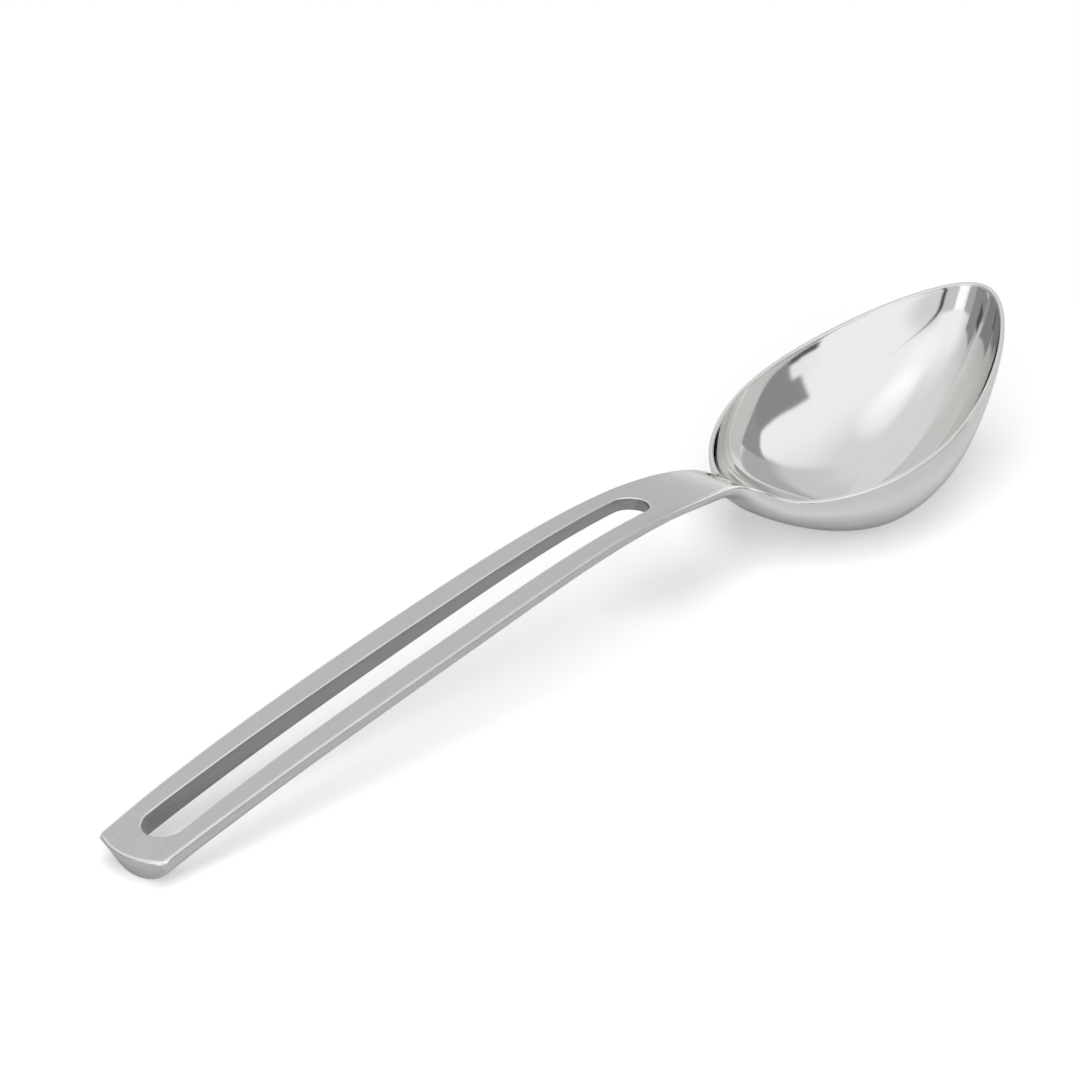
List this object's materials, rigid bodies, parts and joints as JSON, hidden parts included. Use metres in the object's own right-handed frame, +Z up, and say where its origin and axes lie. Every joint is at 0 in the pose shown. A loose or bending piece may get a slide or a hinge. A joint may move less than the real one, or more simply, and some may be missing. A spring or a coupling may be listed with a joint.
{
  "type": "serving spoon",
  "caption": "Serving spoon with a deep egg-shaped polished bowl and an arched satin handle, welded flush at the neck, with a long slot in the handle to hang it by.",
  "frame": {"origin": "on the table the spoon lies on, below the middle of its overall length and width", "axes": "+X from the end of the handle to the tip of the bowl, +Y across the spoon to the left when looking toward the bowl, +Z up from the table"},
  "size_m": [0.2522, 0.0512, 0.0379],
  "materials": {
    "satin_steel": "satin, brushed along the handle",
    "weld_steel": "ground flush and buffed",
    "polished_steel": "mirror polished"
  },
  "bodies": {
    "root": {"handle": "satin_steel", "neck_weld": "weld_steel", "bowl": "polished_steel"}
  },
  "joints": []
}
